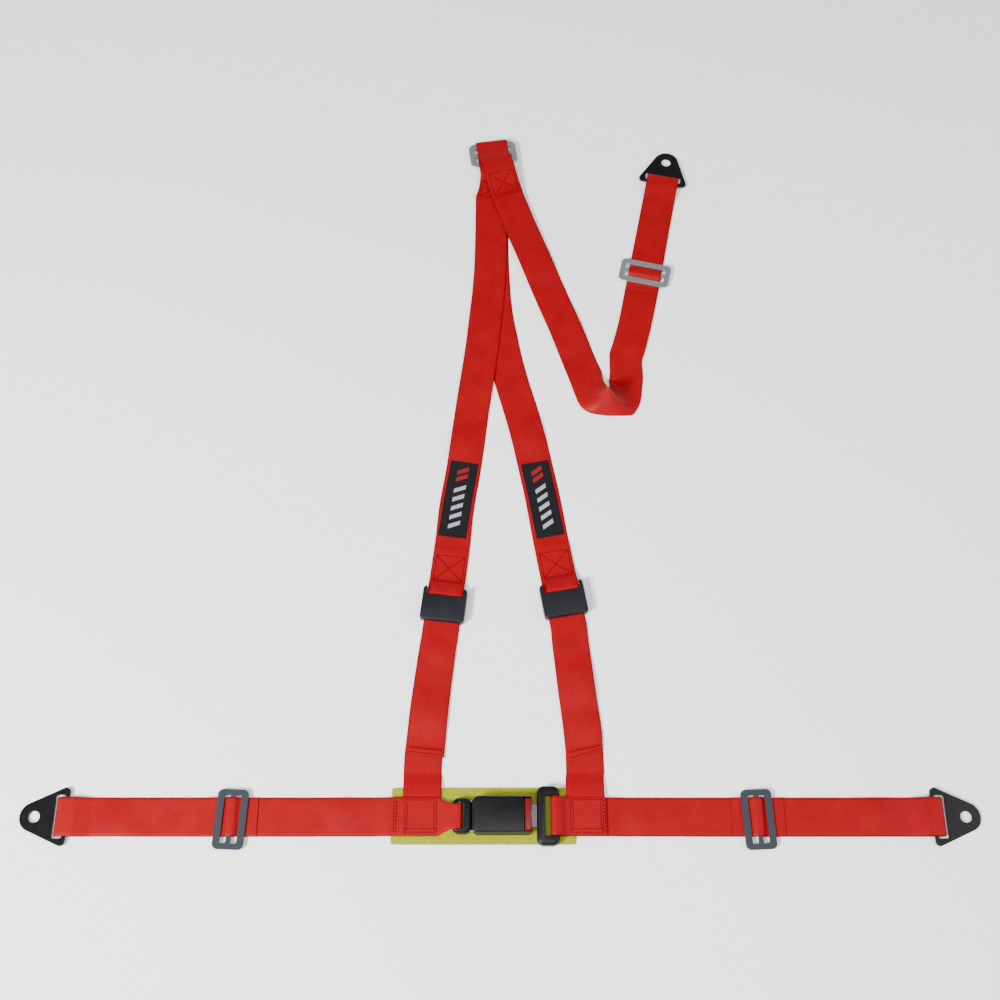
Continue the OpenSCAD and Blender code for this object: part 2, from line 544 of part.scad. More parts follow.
module adj_webbing() color("#c8202a") webbing(upright([0, 0], 90,
  concat([[-adj_end, z1], [-15, z1], [-8, z1 + 0.5]], arc(adj_grip_y, adj_z, adj_grip, -110, 110, 12),
    [[-9, 7.6], [-14, 5], [-20, 2.8], [-adj_end, z2]])));
module adjuster_frame_left() at_adjuster(adj_l_c, adj_l_a) adj_frame();
module adjuster_frame_right() at_adjuster(adj_r_c, adj_r_a) adj_frame();
module adjuster_bar_left() at_adjuster(adj_l_c, adj_l_a) adj_bar();
module adjuster_bar_right() at_adjuster(adj_r_c, adj_r_a) adj_bar();
module adjuster_cover_left() at_adjuster(adj_l_c, adj_l_a) adj_cover();
module adjuster_cover_right() at_adjuster(adj_r_c, adj_r_a) adj_cover();
module adjuster_webbing_left() at_adjuster(adj_l_c, adj_l_a) adj_webbing();
module adjuster_webbing_right() at_adjuster(adj_r_c, adj_r_a) adj_webbing();

// ---- yoke and rear strap ----
module yoke_ring() color("#c9d8da") translate([ring_c[0], ring_c[1], ring_z - ring_t / 2])
  rotate([0, 0, ring_a]) linear_extrude(ring_t) difference() {
    round_rect(ring_w, ring_l, 12);
    for (s = [-1, 1]) translate([0, s * (ring_mid + ring_slot) / 2]) round_rect(web_w + 8, ring_slot, 4);
  }
// A place on the straight rear leg, measured from the plate's bar back along the strap
function rear_at(d) = [rear_bar[0] - d * cos(rear_a), rear_bar[1] - d * sin(rear_a)];
rear_fold = concat([[-262, z2], [-60, z2], [-36, z2 + 0.5], [-20, 6], [-8, plate_axis_z + plate_loop_r],
  [-2, plate_axis_z + plate_loop_r]], arc(loop_slack, plate_axis_z, plate_loop_r, 90, -90, 10),
  [[-8, z1], [-rear_slider_d - rear_tail, z1]]);
module rear_strap() {
  top = rear_part(concat(reverse(rear_ring_flap), arc(ring_step, ring_z, rear_loop, 100, -210, 20),
    reverse(rear_ring_main)));
  // The leg runs away from the ring, so its across direction is turned about to match
  leg = [for (q = route(rear_route, rear_heights)) station(q, q[2], q[3] + 180)];
  down = concat(top, leg);
  up = concat(route([[188, 680], [194, 702]], [z2, z2]), upright(rear_bar, rear_a, rear_fold));
  outer = concat(edge(down, -1), turn_outer, edge(up, 1));
  inner = concat(edge(down, 1), turn_inner, edge(up, -1));
  color("#c8202a") band(outer, inner);
}
module rear_slider() translate([rear_at(rear_slider_d)[0], rear_at(rear_slider_d)[1], 0])
  rotate([0, 0, rear_a - 1.5]) slider_frame("#c9d8da");
module slider_webbing_rear() translate([rear_at(rear_slider_d)[0], rear_at(rear_slider_d)[1], 0])
  rotate([0, 0, rear_a]) slider_hump();
module anchor_plate_rear() translate([rear_bar[0], rear_bar[1], 0]) rotate([0, 0, rear_a + 180]) anchor_plate();

lap_strap_left();
lap_strap_right();
lap_slider_left();
lap_slider_right();
slider_webbing_left();
slider_webbing_right();
anchor_plate_left();
anchor_plate_right();
buckle_pad();
buckle_eye();
buckle_frame();
buckle_base_cover();
buckle_top_cover();
buckle_screws();
latch_pin();
latch_plate();
latch_spring();
ejector();
ejector_springs();
release_button();
button_springs();
tongue_plate();
tongue_cover();
shoulder_strap_left_lower();
shoulder_strap_right_lower();
shoulder_strap_left_upper();
shoulder_strap_right_upper();
label_left();
label_right();
adjuster_frame_left();
adjuster_frame_right();
adjuster_cover_left();
adjuster_cover_right();
adjuster_bar_left();
adjuster_bar_right();
adjuster_webbing_left();
adjuster_webbing_right();
yoke_ring();
rear_strap();
rear_slider();
slider_webbing_rear();
anchor_plate_rear();
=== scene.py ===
import json
import math
import bmesh
import bpy
import numpy as np
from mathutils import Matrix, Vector


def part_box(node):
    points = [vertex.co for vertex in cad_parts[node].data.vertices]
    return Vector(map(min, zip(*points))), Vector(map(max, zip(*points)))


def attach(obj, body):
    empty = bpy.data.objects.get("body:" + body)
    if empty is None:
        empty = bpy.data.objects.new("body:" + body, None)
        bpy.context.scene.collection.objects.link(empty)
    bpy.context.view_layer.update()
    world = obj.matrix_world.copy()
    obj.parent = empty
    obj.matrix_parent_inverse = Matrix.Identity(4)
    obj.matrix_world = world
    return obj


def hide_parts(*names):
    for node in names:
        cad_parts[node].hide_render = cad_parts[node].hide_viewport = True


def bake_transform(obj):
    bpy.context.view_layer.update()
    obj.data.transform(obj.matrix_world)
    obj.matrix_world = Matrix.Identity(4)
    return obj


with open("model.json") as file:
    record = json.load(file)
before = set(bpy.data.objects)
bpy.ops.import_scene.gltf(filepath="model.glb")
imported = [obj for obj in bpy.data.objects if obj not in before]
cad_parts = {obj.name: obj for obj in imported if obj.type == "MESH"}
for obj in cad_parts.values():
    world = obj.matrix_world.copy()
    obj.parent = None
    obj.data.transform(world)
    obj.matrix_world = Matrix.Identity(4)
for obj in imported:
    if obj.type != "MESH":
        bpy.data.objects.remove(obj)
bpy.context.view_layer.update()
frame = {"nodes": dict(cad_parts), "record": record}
mm = 0.001
print("frame loaded:", len(frame["nodes"]), "nodes")


# ---------- small helpers ----------
def linear(hexColour):
    # sRGB hex to linear: the sRGB curve undone, channel by channel
    rgb = [int(hexColour[i:i + 2], 16) / 255 for i in (1, 3, 5)]
    return [c / 12.92 if c <= 0.04045 else ((c + 0.055) / 1.055) ** 2.4 for c in rgb] + [1.0]


def addNode(tree, kind, inputs=None, **settings):
    # one node with its settings; an input is a value or another node's socket
    node = tree.nodes.new(kind)
    for key, value in settings.items():
        setattr(node, key, value)
    for key, value in (inputs or {}).items():
        if isinstance(value, bpy.types.NodeSocket):
            tree.links.new(value, node.inputs[key])
        else:
            node.inputs[key].default_value = value
    return node


def newMaterial(name, **shaderValues):
    material = bpy.data.materials.new(name)
    material.use_nodes = True
    tree = material.node_tree
    shader = tree.nodes["Principled BSDF"]
    for key, value in shaderValues.items():
        shader.inputs[key.replace("_", " ")].default_value = value
    return material, tree, shader


def calc(tree, operation, a, b=0.0, clamp=False):
    return addNode(tree, "ShaderNodeMath", {0: a, 1: b}, operation=operation, use_clamp=clamp).outputs[0]


def blendColour(tree, factor, low, high):
    node = addNode(tree, "ShaderNodeMix", {"Factor": factor}, data_type="RGBA")
    for index, value in ((6, low), (7, high)):
        if isinstance(value, bpy.types.NodeSocket):
            tree.links.new(value, node.inputs[index])
        else:
            node.inputs[index].default_value = value
    return node.outputs[2]


def noise(tree, vector, scale, detail=3.0, rough=0.55):
    node = addNode(tree, "ShaderNodeTexNoise", {"Vector": vector, "Scale": scale, "Detail": detail,
                                                "Roughness": rough})
    return node.outputs["Fac"]


def levelled(tree, value, gain, base):
    # value * gain + base
    return addNode(tree, "ShaderNodeMath", {0: value, 1: gain, 2: base}, operation="MULTIPLY_ADD").outputs[0]


def bump(tree, shader, height, distance):
    node = addNode(tree, "ShaderNodeBump", {"Height": height, "Distance": distance, "Strength": 1.0})
    tree.links.new(node.outputs["Normal"], shader.inputs["Normal"])


def objectPlace(tree):
    return addNode(tree, "ShaderNodeTexCoord").outputs["Object"]


# ---------- materials ----------
# lit, mid and shade are painted lit and shaded reds of the one webbing; sheen and gloss only tint the shader's
# own sheen and gloss
webbingLook = {"lit": "#9a0410", "mid": "#78020c", "shade": "#3a0007", "sheen": "#ff5050", "gloss": "#ff9a90",
               "ribPitch": 3.1, "pickPitch": 1.7, "selvedge": 23.2, "relief": 0.00011}


def polyesterWebbing():
    # polyester seat-belt webbing, woven: lengthwise ribs, a fine herringbone across them, a satin sheen; its
    # colour runs from a painted shade red through a mid red to a painted lit red
    look = webbingLook
    material, tree, shader = newMaterial("polyesterWebbing", Sheen_Weight=0.04, Sheen_Roughness=0.4,
                                         Specular_IOR_Level=0.3, IOR=1.5)
    shader.inputs["Sheen Tint"].default_value = linear(look["sheen"])
    shader.inputs["Specular Tint"].default_value = linear(look["gloss"])
    uv = addNode(tree, "ShaderNodeUVMap", uv_map="webbing").outputs["UV"]
    split = addNode(tree, "ShaderNodeSeparateXYZ", {0: uv})
    across = split.outputs["X"]
    along = split.outputs["Y"]
    turn = 2 * math.pi
    # lengthwise ribs, drawn coarser than the real yarn so that they show: (sin(2 pi across / pitch) + 1) / 2
    rib = calc(tree, "SINE", calc(tree, "MULTIPLY", across, turn / look["ribPitch"]))
    ribHigh = levelled(tree, rib, 0.5, 0.5)
    # herringbone: the picks lean one way on one rib and the other way on the next
    zigzag = calc(tree, "PINGPONG", across, look["ribPitch"] / 2)
    leaning = calc(tree, "ADD", along, zigzag)
    picks = calc(tree, "SINE", calc(tree, "MULTIPLY", leaning, turn / look["pickPitch"]))
    pickHigh = levelled(tree, picks, 0.5, 0.5)
    # slow clouds and fine fibres keep the colour from looking flat; rib and pick crests are painted lighter as
    # painted light, and the selvedge is painted darker as painted shade on its rounded edge
    slow = noise(tree, uv, 0.035, 2.0)
    fibre = noise(tree, uv, 0.9, 4.0)
    edge = calc(tree, "GREATER_THAN", calc(tree, "ABSOLUTE", across), look["selvedge"])
    # this tone is partly painted light and partly real tone: it picks the colour between the painted shade red
    # and the painted lit red
    paintedLightAndTone = calc(tree, "ADD", calc(tree, "MULTIPLY", ribHigh, 0.16), calc(tree, "MULTIPLY", pickHigh, 0.12))
    paintedLightAndTone = calc(tree, "ADD", paintedLightAndTone, calc(tree, "MULTIPLY", calc(tree, "ADD", slow, fibre), 0.38), clamp=True)
    paintedLightAndTone = calc(tree, "SUBTRACT", paintedLightAndTone, calc(tree, "MULTIPLY", edge, 0.16), clamp=True)
    deep = calc(tree, "MULTIPLY", paintedLightAndTone, 1.6, clamp=True)
    low = blendColour(tree, deep, linear(look["shade"]), linear(look["mid"]))
    colour = blendColour(tree, paintedLightAndTone, low, linear(look["lit"]))
    tree.links.new(colour, shader.inputs["Base Color"])
    tree.links.new(levelled(tree, fibre, 0.25, 0.32), shader.inputs["Roughness"])
    height = calc(tree, "ADD", calc(tree, "MULTIPLY", ribHigh, 0.6), calc(tree, "MULTIPLY", pickHigh, 0.45))
    height = calc(tree, "ADD", height, calc(tree, "MULTIPLY", fibre, 0.3))
    bump(tree, shader, height, look["relief"])
    return material


def sewingThread(name, colour):
    # bonded polyester thread, twisted: fine slanting plies with a soft gloss
    material, tree, shader = newMaterial(name, Roughness=0.6, Specular_IOR_Level=0.12)
    place = objectPlace(tree)
    plies = addNode(tree, "ShaderNodeTexWave", {"Vector": place, "Scale": 900.0, "Distortion": 1.5})
    # the grooves between the plies take a darker copy of the colour: painted shade
    shade = [c * 0.6 for c in linear(colour)[:3]] + [1.0]
    twist = blendColour(tree, plies.outputs["Fac"], shade, linear(colour))
    tree.links.new(twist, shader.inputs["Base Color"])
    bump(tree, shader, plies.outputs["Fac"], 0.00008)
    return material


def mouldedPlastic(name, colour, roughness, grain=0.00006, wear=0.12):
    # moulded nylon or ABS: spark-eroded grain, faint handling shine, slightly paler where it is rubbed
    material, tree, shader = newMaterial(name, IOR=1.5, Specular_IOR_Level=0.2)
    place = objectPlace(tree)
    fine = noise(tree, place, 1500.0, 2.0)
    slow = noise(tree, place, 60.0, 4.0)
    base = linear(colour)
    pale = [min(1.0, c * 1.5 + 0.006) for c in base[:3]] + [1.0]
    rubbed = calc(tree, "MULTIPLY", calc(tree, "POWER", slow, 2.0), wear * 4, clamp=True)
    tree.links.new(blendColour(tree, rubbed, base, pale), shader.inputs["Base Color"])
    tree.links.new(levelled(tree, slow, 0.22, roughness - 0.1), shader.inputs["Roughness"])
    bump(tree, shader, fine, grain)
    return material


def coatedSteel(name, colour, roughness):
    # powder-coated steel: a faint orange peel under a low gloss, with tiny specks
    material, tree, shader = newMaterial(name, IOR=1.5, Specular_IOR_Level=0.22, Coat_Weight=0.06,
                                         Coat_Roughness=0.25)
    place = objectPlace(tree)
    peel = noise(tree, place, 700.0, 2.0)
    scuff = noise(tree, place, 130.0, 6.0, 0.7)
    scuffed = calc(tree, "MULTIPLY", calc(tree, "SUBTRACT", scuff, 0.6), 3.0, clamp=True)
    base = linear(colour)
    pale = [min(1.0, c * 1.6 + 0.006) for c in base[:3]] + [1.0]
    tree.links.new(blendColour(tree, scuffed, base, pale), shader.inputs["Base Color"])
    tree.links.new(levelled(tree, scuff, 0.25, roughness - 0.12), shader.inputs["Roughness"])
    bump(tree, shader, peel, 0.00007)
    return material


def platedSteel(name, colour, tint, roughness):
    # bright zinc plate over pressed steel: faint passivation tint, fine rolling lines and small pits
    material, tree, shader = newMaterial(name, Metallic=1.0)
    place = objectPlace(tree)
    stretched = addNode(tree, "ShaderNodeMapping", {"Vector": place, "Scale": (60.0, 1400.0, 60.0)})
    lines = noise(tree, stretched.outputs[0], 1.0, 3.0)
    cloud = noise(tree, place, 55.0, 3.0)
    tree.links.new(blendColour(tree, cloud, linear(colour), linear(tint)), shader.inputs["Base Color"])
    tree.links.new(levelled(tree, lines, 0.22, roughness - 0.1), shader.inputs["Roughness"])
    pits = calc(tree, "MULTIPLY", noise(tree, place, 400.0), 0.5)
    bump(tree, shader, calc(tree, "ADD", lines, pits), 0.00003)
    return material


# the crease colour is painted shade for the grain's creases; the other two vary the lime at random
vinylLook = {"low": "#969c00", "high": "#b2b600", "crease": "#6e7200", "grain": 520.0}


def glossyVinyl():
    # PVC-coated foam sheet: a close leather grain pressed into it, its creases painted darker as painted shade,
    # wet-looking gloss
    look = vinylLook
    material, tree, shader = newMaterial("glossyVinyl", IOR=1.5, Specular_IOR_Level=0.2, Coat_Weight=0.1,
                                         Coat_Roughness=0.15)
    place = objectPlace(tree)
    cells = addNode(tree, "ShaderNodeTexVoronoi", {"Vector": place, "Scale": look["grain"]},
                    feature="DISTANCE_TO_EDGE")
    # near the cell edges the colour turns to the darker crease lime: painted shade in the grain's creases
    crease = calc(tree, "MULTIPLY", cells.outputs["Distance"], 3.0, clamp=True)
    cloud = noise(tree, place, 35.0, 3.0)
    body = blendColour(tree, cloud, linear(look["low"]), linear(look["high"]))
    tree.links.new(blendColour(tree, crease, linear(look["crease"]), body), shader.inputs["Base Color"])
    tree.links.new(levelled(tree, cloud, 0.18, 0.24), shader.inputs["Roughness"])
    bump(tree, shader, crease, 0.00012)
    return material


labelLook = {"hollowShade": "#030304", "ground": "#0e0e12", "threadShade": "#6f7378", "thread": "#a9adb2",
             "accent": "#7d0914", "barHalf": 8.0, "width": 40, "thick": 0.6, "warpPitch": 0.7, "weftPitch": 0.9}


def wovenLabel():
    # damask-woven label: fine crosswise yarn on black, with plain slanting bars in the middle
    look = labelLook
    material, tree, shader = newMaterial("wovenLabel", Roughness=0.65, Sheen_Weight=0.03,
                                         Specular_IOR_Level=0.2)
    uv = addNode(tree, "ShaderNodeUVMap", uv_map="webbing").outputs["UV"]
    split = addNode(tree, "ShaderNodeSeparateXYZ", {0: uv})
    across = split.outputs["X"]
    along = split.outputs["Y"]

    def between(value, low, high):
        above = calc(tree, "GREATER_THAN", value, low)
        return calc(tree, "MULTIPLY", above, calc(tree, "LESS_THAN", value, high))

    # slanting bars: bands of (along less half of across), kept to the middle of the label
    slant = calc(tree, "SUBTRACT", along, calc(tree, "MULTIPLY", across, 0.5))
    inMiddle = between(across, -look["barHalf"], look["barHalf"])
    bars = calc(tree, "MULTIPLY", between(calc(tree, "MODULO", slant, 14.0), 2.0, 8.5), inMiddle)
    bars = calc(tree, "MULTIPLY", bars, between(slant, 14.0, 83.0))
    accent = calc(tree, "MULTIPLY", between(calc(tree, "MODULO", slant, 11.0), 1.5, 8.5), inMiddle)
    accent = calc(tree, "MULTIPLY", accent, between(slant, 87.0, 109.0))
    yarn = calc(tree, "SINE", calc(tree, "MULTIPLY", along, 2 * math.pi / look["weftPitch"]))
    cross = calc(tree, "SINE", calc(tree, "MULTIPLY", across, 2 * math.pi / look["warpPitch"]))
    weave = calc(tree, "ADD", calc(tree, "MULTIPLY", yarn, 0.25), calc(tree, "MULTIPLY", cross, 0.25))
    weave = calc(tree, "ADD", weave, 0.5)
    # in the hollows of the weave the ground and the thread take darker colours: painted shade between the yarns
    ground = blendColour(tree, weave, linear(look["hollowShade"]), linear(look["ground"]))
    thread = blendColour(tree, weave, linear(look["threadShade"]), linear(look["thread"]))
    colour = blendColour(tree, bars, ground, thread)
    colour = blendColour(tree, accent, colour, linear(look["accent"]))
    tree.links.new(colour, shader.inputs["Base Color"])
    bump(tree, shader, calc(tree, "ADD", weave, bars), 0.00008)
    return material


webbingMaterial = polyesterWebbing()
threadRed = sewingThread("redThread", "#5a0209")
threadBlack = sewingThread("blackThread", "#1a1a1e")
vinyl = glossyVinyl()
labelMaterial = wovenLabel()
blackNylon = mouldedPlastic("blackNylon", "#070709", 0.4)
redAbs = mouldedPlastic("redAbs", "#62030c", 0.34, 0.00004, 0.05)
charcoalNylon = mouldedPlastic("charcoalNylon", "#111318", 0.42)
blackCoat = coatedSteel("blackPowderCoat", "#050507", 0.34)
greyCoat = coatedSteel("greyPowderCoat", "#2c3037", 0.4)
brightZinc = platedSteel("brightZinc", "#d3dde0", "#c2d2d8", 0.3)
plainSteel = platedSteel("stampedSteel", "#7f7a7d", "#726c6f", 0.36)
springWire = platedSteel("springWire", "#b9bdc2", "#a9aeb4", 0.3)
print("materials ready")


# ---------- rigid pieces: the CAD solids with their edges broken ----------
rigidPieces = {
    # node: (material, slot, width of the broken edge in mm)
    "anchor_plate_left": (blackCoat, "plate_steel", 0.5), "anchor_plate_right": (blackCoat, "plate_steel", 0.5),
    "anchor_plate_rear": (blackCoat, "plate_steel", 0.5),
    "lap_slider_left": (greyCoat, "slider_steel", 0.7), "lap_slider_right": (greyCoat, "slider_steel", 0.7),
    "rear_slider": (brightZinc, "zinc", 0.7), "yoke_ring": (brightZinc, "zinc", 1.1),
    "buckle_eye": (blackNylon, "black_plastic", 0.5), "buckle_base_cover": (blackNylon, "black_plastic", 0.5),
    "buckle_top_cover": (blackNylon, "black_plastic", 0.4), "tongue_cover": (blackNylon, "black_plastic", 0.5),
    "release_button": (redAbs, "button_plastic", 0.4),
    "buckle_frame": (plainSteel, "steel", 0.25), "buckle_screws": (plainSteel, "steel", 0.2),
    "latch_pin": (plainSteel, "steel", 0.2), "latch_plate": (plainSteel, "steel", 0.2),
    "ejector": (plainSteel, "steel", 0.25), "tongue_plate": (plainSteel, "steel", 0.35),
    "adjuster_frame_left": (plainSteel, "steel", 0.25), "adjuster_frame_right": (plainSteel, "steel", 0.25),
    "adjuster_bar_left": (plainSteel, "steel", 0.3), "adjuster_bar_right": (plainSteel, "steel", 0.3),
    "adjuster_cover_left": (charcoalNylon, "adjuster_plastic", 0.35),
    "adjuster_cover_right": (charcoalNylon, "adjuster_plastic", 0.35),
    "latch_spring": (springWire, "spring_steel", 0.0), "ejector_springs": (springWire, "spring_steel", 0.0),
    "button_springs": (springWire, "spring_steel", 0.0),
}
bodies = frame["record"]["behaviour"]["bodies"]
nodeBody = {node: body for body, members in bodies.items() for node in members}


edgeWork = {"mergeWithin": 2e-6, "flatWithin": 0.6, "sharpFrom": 32, "bevelFrom": 38, "segments": 3}


def brokenEdges(node, material, width):
    # a merged copy of the solid, its flat triangles joined into whole faces, its sharp edges rounded
    copy = frame["nodes"][node].data.copy()
    work = bmesh.new()
    work.from_mesh(copy)
    bmesh.ops.remove_doubles(work, verts=work.verts, dist=edgeWork["mergeWithin"])
    bmesh.ops.dissolve_limit(work, angle_limit=math.radians(edgeWork["flatWithin"]), verts=work.verts,
                             edges=work.edges)
    work.to_mesh(copy)
    work.free()
    piece = bpy.data.objects.new(node + "_finished", copy)
    bpy.context.scene.collection.objects.link(piece)
    copy.materials.clear()
    copy.materials.append(material)
    copy.shade_smooth()
    copy.set_sharp_from_angle(angle=math.radians(edgeWork["sharpFrom"]))
    if width > 0:
        bevel = piece.modifiers.new("brokenEdge", "BEVEL")
        bevel.width = width * mm
        bevel.segments = edgeWork["segments"]
        bevel.limit_method = "ANGLE"
        bevel.angle_limit = math.radians(edgeWork["bevelFrom"])
        bevel.harden_normals = True
        bevel.use_clamp_overlap = True
    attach(piece, nodeBody[node])
    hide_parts(node)


for node, (material, slot, width) in rigidPieces.items():
    brokenEdges(node, material, width)
print("rigid pieces finished:", len(rigidPieces))


# ---------- webbing ----------
web = {"width": 50.0, "thick": 1.2, "gap": 0.2, "step": 2.2, "columns": 18}
layer = web["thick"] + web["gap"]
z1 = web["thick"] / 2
z2 = z1 + layer
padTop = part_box("buckle_pad")[1][2] / mm
padZ = [padTop + 0.2 + web["thick"] / 2 + k * layer for k in range(3)]

# where the webbing lies in gentle waves: centre, reach along the strap, and height, all in mm. The stretches
# the sliders travel over stay flat, and where the shoulder straps cross only the upper one waves.
crossingSpots = [(-28, 640, 30, 1.6), (8, 650, 34, 2.2), (-30, 742, 40, 2.4), (-16, 905, 30, 1.2)]
waveSpots = [
    (-198, 6, 34, 2.2), (182, -5, 34, 2.0), (-500, -8, 38, 2.6), (490, 6, 42, 2.6),
    (-98, 140, 44, 3.4), (108, 180, 46, 3.2), (-80, 222, 24, 1.4), (116, 118, 30, 1.8),
    (-60, 545, 44, 3.8), (40, 555, 46, 4.0), (100, 738, 58, 3.4), (62, 846, 40, 2.4),
    (186, 712, 28, 2.0), (206, 700, 24, 1.4), (250, 964, 26, 1.8)]
allSpots = waveSpots + crossingSpots


def waveHeight(x, y, spots):
    # a sum of smooth mounds, each the height times (1 - squared distance over squared reach) squared
    height = np.zeros_like(x)
    for cx, cy, reach, rise in spots:
        near = np.clip(1 - ((x - cx) ** 2 + (y - cy) ** 2) / reach ** 2, 0, None)
        height += rise * near ** 2
    return height


def smoothed(points, at):
    # monotone cubic through the points: slopes are harmonic means, so flat stretches stay flat
    s = np.concatenate([[0], np.cumsum(np.linalg.norm(np.diff(points[:, :3], axis=0), axis=1))])
    gaps = np.diff(s)[:, None]
    slope = np.diff(points, axis=0) / gaps
    same = slope[:-1] * slope[1:] > 0
    with np.errstate(divide="ignore", invalid="ignore"):
        inner = np.where(same, 2 * slope[:-1] * slope[1:] / (slope[:-1] + slope[1:]), 0)
    m = np.vstack([slope[:1], inner, slope[-1:]])
    t = at * s[-1]
    k = np.clip(np.searchsorted(s, t, side="right") - 1, 0, len(s) - 2)
    h = gaps[k]
    u = (t[:, None] - s[k][:, None]) / h
    return ((2 * u ** 3 - 3 * u ** 2 + 1) * points[k] + (u ** 3 - 2 * u ** 2 + u) * h * m[k]
            + (3 * u ** 2 - 2 * u ** 3) * points[k + 1] + (u ** 3 - u ** 2) * h * m[k + 1])


def edgesOf(stations):
    # a station is x, y, z, the turn of its across direction in degrees, and its width
    st = np.array(stations, float)
    turn = np.radians(st[:, 3])
    half = np.stack([np.cos(turn), np.sin(turn), 0 * turn], axis=1) * st[:, 4:5] / 2
    return st[:, :3] - half, st[:, :3] + half


def rows(stations=None, edges=None, wave=allSpots):
    # the strap's two edges and its normal, sampled evenly along its length
    edges = edges or edgesOf(stations)
    both = np.hstack([(edges[0] + edges[1]) / 2, edges[0], edges[1]])
    length = np.linalg.norm(np.diff(both[:, :3], axis=0), axis=1).sum()
    count = max(8, int(length / web["step"]))
    both = smoothed(both, np.linspace(0, 1, count))
    a, b = both[:, 3:6], both[:, 6:9]
    mid = (a + b) / 2
    tangent = np.gradient(mid, axis=0)
    across = b - a
    normal = np.cross(tangent, across)
    normal /= np.linalg.norm(normal, axis=1)[:, None]
    s = np.concatenate([[0], np.cumsum(np.linalg.norm(np.diff(mid, axis=0), axis=1))])
    return {"a": a, "b": b, "normal": normal, "s": s, "wave": wave}


def makeMesh(name, points, faces, material, uv=None, smoothAngle=0):
    mesh = bpy.data.meshes.new(name)
    mesh.from_pydata((points * mm).tolist(), [], faces)
    if uv is not None:
        layerUv = mesh.uv_layers.new(name="webbing")
        corner = np.zeros(len(mesh.loops), int)
        mesh.loops.foreach_get("vertex_index", corner)
        layerUv.data.foreach_set("uv", uv[corner].astype(np.float32).ravel())
    mesh.materials.append(material)
    mesh.shade_smooth()
    if smoothAngle:
        mesh.set_sharp_from_angle(angle=math.radians(smoothAngle))
    piece = bpy.data.objects.new(name, mesh)
    bpy.context.scene.collection.objects.link(piece)
    return piece


def strip(name, strap, material, thick=None, hems=()):
    # a closed band: each row is an outline (across, height), flat on top with rounded selvedges
    thick = web["thick"] if thick is None else thick
    n = len(strap["s"])
    c = np.sin(np.linspace(-1, 1, web["columns"]) * math.pi / 2 * 0.999)
    c = 0.35 * c + 0.65 * np.linspace(-1, 1, web["columns"])
    lid = (1 - np.abs(c) ** 26) ** 0.5
    outlineC = np.concatenate([c, c[-2:0:-1]])
    outlineH = np.concatenate([lid, -lid[-2:0:-1]])
    depth = np.full(n, thick / 2)
    for low, high, extra in hems:
        inside = (strap["s"] >= low) & (strap["s"] <= high)
        depth[inside] += extra / 2
    across = (outlineC + 1) / 2
    points = (strap["a"][:, None] + (strap["b"] - strap["a"])[:, None] * across[None, :, None]
              + strap["normal"][:, None] * (outlineH[None, :, None] * depth[:, None, None]))
    for low, high, extra in hems:
        inside = (strap["s"] >= low) & (strap["s"] <= high)
        points[inside, :, 2] += extra / 2
    points[..., 2] += waveHeight(points[..., 0], points[..., 1], strap["wave"])
    m = len(outlineC)
    width = np.linalg.norm(strap["b"] - strap["a"], axis=1)
    uv = np.stack([np.broadcast_to(outlineC * 0.5, (n, m)) * width[:, None],
                   np.broadcast_to(strap["s"][:, None], (n, m))], axis=2).reshape(-1, 2)
    i, j = np.meshgrid(np.arange(n - 1), np.arange(m), indexing="ij")
    k = (j + 1) % m
    quads = np.stack([i * m + j, i * m + k, (i + 1) * m + k, (i + 1) * m + j], axis=2).reshape(-1, 4)
    caps = [list(range(m))[::-1], [(n - 1) * m + q for q in range(m)]]
    piece = makeMesh(name, points.reshape(-1, 3), quads.tolist() + caps, material, uv, 50)
    fixNormals(piece)
    return piece


def fixNormals(piece):
    work = bmesh.new()
    work.from_mesh(piece.data)
    bmesh.ops.recalc_face_normals(work, faces=work.faces)
    work.to_mesh(piece.data)
    work.free()


def onStrap(strap, across, along, lift):
    # a place on the strap: across from its middle and along its length, lifted off its upper face
    def at(rowsOf):
        return np.stack([np.interp(along, strap["s"], rowsOf[:, k]) for k in range(3)], axis=-1)
    a, b, normal = at(strap["a"]), at(strap["b"]), at(strap["normal"])
    width = np.linalg.norm(b - a, axis=-1, keepdims=True)
    p = a + (b - a) * (0.5 + across[:, None] / width)
    up = np.where(normal[:, 2:3] < 0, -1.0, 1.0)
    p = p + normal * up * (web["thick"] / 2 + lift)
    p[:, 2] += waveHeight(p[:, 0], p[:, 1], strap["wave"])
    return p


sewing = {"stitch": 3.4, "gap": 0.9, "thread": 0.42}


